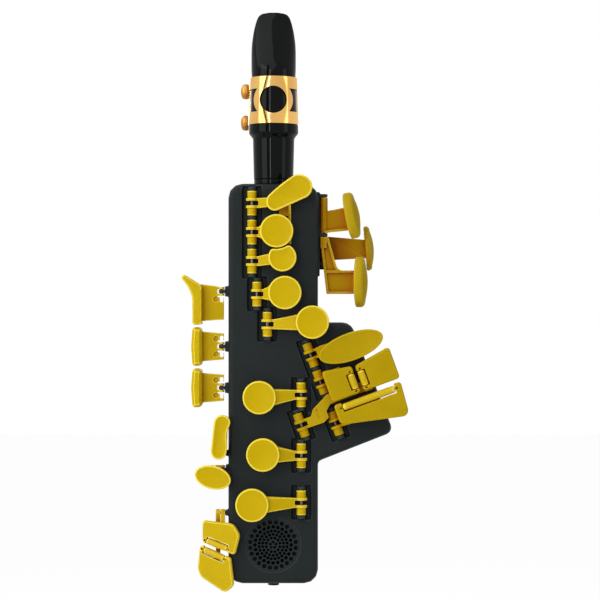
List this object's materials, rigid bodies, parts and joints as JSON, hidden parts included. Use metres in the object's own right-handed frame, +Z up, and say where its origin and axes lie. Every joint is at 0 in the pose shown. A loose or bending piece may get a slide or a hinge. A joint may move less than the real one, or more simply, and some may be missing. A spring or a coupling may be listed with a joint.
{
  "type": "digital wind controller",
  "caption": "Hand-held electronic wind instrument: slim case with a side wing, saxophone-style sprung keys, rollers, reed mouthpiece with ligature and a round speaker grille.",
  "frame": {"origin": "centre of the strap ring's hole on the back", "axes": "+Z up along the instrument to the mouthpiece, keys face -Y, +X to the side of the wing"},
  "size_m": [0.1223, 0.0641, 0.3151],
  "materials": {
    "key_plastic": "satin moulded",
    "case_plastic": "fine matte",
    "ebonite": "polished",
    "gold": "polished gold lacquer",
    "steel": "drawn",
    "cane": "raw cane",
    "cork": "cork sheet",
    "rubber": "matte",
    "board": "solder mask",
    "foil": "laminated pouch"
  },
  "bodies": {
    "housing": {"front_housing": "case_plastic", "rear_housing": "case_plastic", "speaker_grille": "case_plastic", "neck_socket": "ebonite", "neck_cork": "cork", "drain_plug": "rubber", "main_board": "board", "battery": "foil", "speaker": "rubber", "breath_sensor": "rubber", "air_hose": "rubber", "usb_socket": "steel", "strap_ring": "steel", "thumb_rest": "rubber", "thumb_hook": "case_plastic", "octave_rod": "steel", "upper_stack_rod": "steel", "a_key_rod": "steel", "g_key_rod": "steel", "f_key_rod": "steel", "e_key_rod": "steel", "d_key_rod": "steel", "table_upper_rod": "steel", "low_b_rod": "steel", "low_b_flat_rod": "steel"},
    "mouthpiece": {"mouthpiece": "ebonite", "reed": "cane", "ligature": "gold"},
    "ligature_screw_upper": {"ligature_screw_upper": "gold"},
    "ligature_screw_lower": {"ligature_screw_lower": "gold"},
    "thumb_hook_screw": {"thumb_hook_screw": "steel"},
    "power_button": {"power_button": "rubber"},
    "octave_key": {"octave_key": "key_plastic"},
    "front_f_key": {"front_f_key": "key_plastic"},
    "b_key": {"b_key": "key_plastic"},
    "bis_key": {"bis_key": "key_plastic"},
    "a_key": {"a_key": "key_plastic"},
    "g_key": {"g_key": "key_plastic"},
    "f_key": {"f_key": "key_plastic"},
    "e_key": {"e_key": "key_plastic"},
    "d_key": {"d_key": "key_plastic"},
    "g_sharp_key": {"g_sharp_key": "key_plastic"},
    "low_c_sharp_key": {"low_c_sharp_key": "key_plastic"},
    "low_b_key": {"low_b_key": "key_plastic"},
    "low_b_flat_key": {"low_b_flat_key": "key_plastic"},
    "low_c_sharp_roller": {"low_c_sharp_roller": "key_plastic"},
    "low_b_roller": {"low_b_roller": "key_plastic"},
    "low_b_flat_roller": {"low_b_flat_roller": "key_plastic"},
    "palm_d_key": {"palm_d_key": "key_plastic"},
    "palm_e_flat_key": {"palm_e_flat_key": "key_plastic"},
    "palm_f_key": {"palm_f_key": "key_plastic"},
    "side_e_key": {"side_e_key": "key_plastic"},
    "side_c_key": {"side_c_key": "key_plastic"},
    "side_b_flat_key": {"side_b_flat_key": "key_plastic"},
    "high_f_sharp_key": {"high_f_sharp_key": "key_plastic"},
    "side_f_sharp_key": {"side_f_sharp_key": "key_plastic"},
    "low_e_flat_key": {"low_e_flat_key": "key_plastic"},
    "low_c_key": {"low_c_key": "key_plastic"},
    "low_e_flat_roller": {"low_e_flat_roller": "key_plastic"},
    "low_c_roller": {"low_c_roller": "key_plastic"}
  },
  "joints": [
    {"name": "octave_press", "type": "hinge", "parent": "housing", "child": "octave_key", "pos_m": [0, -0.00373, 0.0582], "axis": [-1, 0, 0], "range_deg": [0, 5.6], "stiffness_Nm_per_rad": 0.02, "springref_deg": -14.32},
    {"name": "front_f_press", "type": "hinge", "parent": "housing", "child": "front_f_key", "pos_m": [-0.0114, -0.03812, 0.074], "axis": [0, 0, 1], "range_deg": [0, 4.4], "stiffness_Nm_per_rad": 0.02, "springref_deg": -14.32},
    {"name": "b_press", "type": "hinge", "parent": "housing", "child": "b_key", "pos_m": [-0.0114, -0.03812, 0.05835], "axis": [0, 0, 1], "range_deg": [0, 8.6], "stiffness_Nm_per_rad": 0.02, "springref_deg": -14.32},
    {"name": "bis_press", "type": "hinge", "parent": "housing", "child": "bis_key", "pos_m": [-0.0114, -0.03812, 0.0427], "axis": [0, 0, 1], "range_deg": [0, 7], "stiffness_Nm_per_rad": 0.02, "springref_deg": -14.32},
    {"name": "a_press", "type": "hinge", "parent": "housing", "child": "a_key", "pos_m": [-0.0087, -0.03812, 0.0249], "axis": [0, 0, 1], "range_deg": [0, 7.6], "stiffness_Nm_per_rad": 0.02, "springref_deg": -14.32},
    {"name": "g_press", "type": "hinge", "parent": "housing", "child": "g_key", "pos_m": [-0.0031, -0.03812, 0.0086], "axis": [0, 0, 1], "range_deg": [0, 4.7], "stiffness_Nm_per_rad": 0.02, "springref_deg": -14.32},
    {"name": "f_press", "type": "hinge", "parent": "housing", "child": "f_key", "pos_m": [0.0152, -0.03812, -0.0295], "axis": [0, 0, -1], "range_deg": [0, 5.1], "stiffness_Nm_per_rad": 0.02, "springref_deg": -14.32},
    {"name": "e_press", "type": "hinge", "parent": "housing", "child": "e_key", "pos_m": [0.0152, -0.03812, -0.0624], "axis": [0, 0, -1], "range_deg": [0, 5.6], "stiffness_Nm_per_rad": 0.02, "springref_deg": -14.32},
    {"name": "d_press", "type": "hinge", "parent": "housing", "child": "d_key", "pos_m": [0.0152, -0.03812, -0.0878], "axis": [0, 0, -1], "range_deg": [0, 4.35], "stiffness_Nm_per_rad": 0.02, "springref_deg": -14.32},
    {"name": "g_sharp_press", "type": "hinge", "parent": "housing", "child": "g_sharp_key", "pos_m": [0.02032, -0.03812, -0.00805], "axis": [-0.342, 0, 0.9397], "range_deg": [0, 5.5], "stiffness_Nm_per_rad": 0.02, "springref_deg": -14.32},
    {"name": "low_c_sharp_press", "type": "hinge", "parent": "housing", "child": "low_c_sharp_key", "pos_m": [0.02568, -0.03812, -0.02275], "axis": [-0.342, 0, 0.9397], "range_deg": [0, 8], "stiffness_Nm_per_rad": 0.02, "springref_deg": -14.32},
    {"name": "low_b_press", "type": "hinge", "parent": "housing", "child": "low_b_key", "pos_m": [0.01526, -0.03812, -0.04589], "axis": [-0.342, 0, 0.9397], "range_deg": [0, 3.1], "stiffness_Nm_per_rad": 0.02, "springref_deg": -14.32},
    {"name": "low_b_flat_press", "type": "hinge", "parent": "housing", "child": "low_b_flat_key", "pos_m": [0.03374, -0.03812, -0.04491], "axis": [-0.342, 0, 0.9397], "range_deg": [0, 6], "stiffness_Nm_per_rad": 0.02, "springref_deg": -14.32},
    {"name": "palm_d_press", "type": "hinge", "parent": "housing", "child": "palm_d_key", "pos_m": [0.0277, -0.02832, 0.06795], "axis": [0, 0, 1], "range_deg": [0, 6], "stiffness_Nm_per_rad": 0.02, "springref_deg": -14.32},
    {"name": "palm_e_flat_press", "type": "hinge", "parent": "housing", "child": "palm_e_flat_key", "pos_m": [0.0277, -0.01893, 0.05], "axis": [0, 0, 1], "range_deg": [0, 5.5], "stiffness_Nm_per_rad": 0.02, "springref_deg": -14.32},
    {"name": "palm_f_press", "type": "hinge", "parent": "housing", "child": "palm_f_key", "pos_m": [0.0277, -0.02832, 0.05305], "axis": [0, 0, 1], "range_deg": [0, 6], "stiffness_Nm_per_rad": 0.02, "springref_deg": -14.32},
    {"name": "side_e_press", "type": "hinge", "parent": "housing", "child": "side_e_key", "pos_m": [-0.0282, -0.02993, 0.0264], "axis": [0, 0, -1], "range_deg": [0, 10], "stiffness_Nm_per_rad": 0.02, "springref_deg": -14.32},
    {"name": "side_c_press", "type": "hinge", "parent": "housing", "child": "side_c_key", "pos_m": [-0.0282, -0.02993, -0.0036], "axis": [0, 0, -1], "range_deg": [0, 10], "stiffness_Nm_per_rad": 0.02, "springref_deg": -14.32},
    {"name": "side_b_flat_press", "type": "hinge", "parent": "housing", "child": "side_b_flat_key", "pos_m": [-0.0282, -0.02993, -0.0261], "axis": [0, 0, -1], "range_deg": [0, 10], "stiffness_Nm_per_rad": 0.02, "springref_deg": -14.32},
    {"name": "high_f_sharp_press", "type": "hinge", "parent": "housing", "child": "high_f_sharp_key", "pos_m": [-0.0273, -0.03093, -0.0615], "axis": [-1, 0, 0], "range_deg": [0, 7.9], "stiffness_Nm_per_rad": 0.02, "springref_deg": -14.32},
    {"name": "side_f_sharp_press", "type": "hinge", "parent": "housing", "child": "side_f_sharp_key", "pos_m": [-0.0277, -0.03193, -0.0705], "axis": [0, 0, -1], "range_deg": [0, 12], "stiffness_Nm_per_rad": 0.02, "springref_deg": -14.32},
    {"name": "low_e_flat_press", "type": "hinge", "parent": "housing", "child": "low_e_flat_key", "pos_m": [-0.0273, -0.03413, -0.0936], "axis": [1, 0, 0], "range_deg": [0, 6.5], "stiffness_Nm_per_rad": 0.02, "springref_deg": -14.32},
    {"name": "low_c_press", "type": "hinge", "parent": "housing", "child": "low_c_key", "pos_m": [-0.03, -0.03413, -0.0936], "axis": [1, 0, 0], "range_deg": [0, 4], "stiffness_Nm_per_rad": 0.02, "springref_deg": -14.32},
    {"name": "low_c_sharp_roller_spin", "type": "hinge", "parent": "low_c_sharp_key", "child": "low_c_sharp_roller", "pos_m": [0.04295, -0.04643, -0.02197], "axis": [-0.342, 0, 0.9397], "continuous": true},
    {"name": "low_b_roller_spin", "type": "hinge", "parent": "low_b_key", "child": "low_b_roller", "pos_m": [0.0484, -0.04643, -0.01999], "axis": [-0.342, 0, 0.9397], "continuous": true},
    {"name": "low_b_flat_roller_spin", "type": "hinge", "parent": "low_b_flat_key", "child": "low_b_flat_roller", "pos_m": [0.05151, -0.04643, -0.03088], "axis": [-0.9397, 0, -0.342], "continuous": true},
    {"name": "low_e_flat_roller_spin", "type": "hinge", "parent": "low_e_flat_key", "child": "low_e_flat_roller", "pos_m": [-0.03012, -0.03836, -0.1105], "axis": [0.8947, -0.3256, -0.3057], "continuous": true},
    {"name": "low_c_roller_spin", "type": "hinge", "parent": "low_c_key", "child": "low_c_roller", "pos_m": [-0.03182, -0.03774, -0.1156], "axis": [0.8784, -0.3197, -0.3551], "continuous": true},
    {"name": "mouthpiece_turn", "type": "hinge", "parent": "housing", "child": "mouthpiece", "pos_m": [0, -0.02193, 0.0876], "axis": [0, 0, 1], "range_deg": [-180, 180]},
    {"name": "ligature_screw_upper_turn", "type": "hinge", "parent": "mouthpiece", "child": "ligature_screw_upper", "pos_m": [0, -0.00632, 0.1378], "axis": [-1, 0, 0], "continuous": true},
    {"name": "ligature_screw_lower_turn", "type": "hinge", "parent": "mouthpiece", "child": "ligature_screw_lower", "pos_m": [0, -0.00632, 0.1203], "axis": [-1, 0, 0], "continuous": true},
    {"name": "thumb_hook_screw_turn", "type": "hinge", "parent": "housing", "child": "thumb_hook_screw", "pos_m": [0, -0.02193, -0.043], "axis": [0, 1, 0], "continuous": true},
    {"name": "power_button_press", "type": "slide", "parent": "housing", "child": "power_button", "axis": [0, -1, 0], "range_m": [0, 0.001], "stiffness_N_per_m": 400, "springref_m": -0.002}
  ]
}
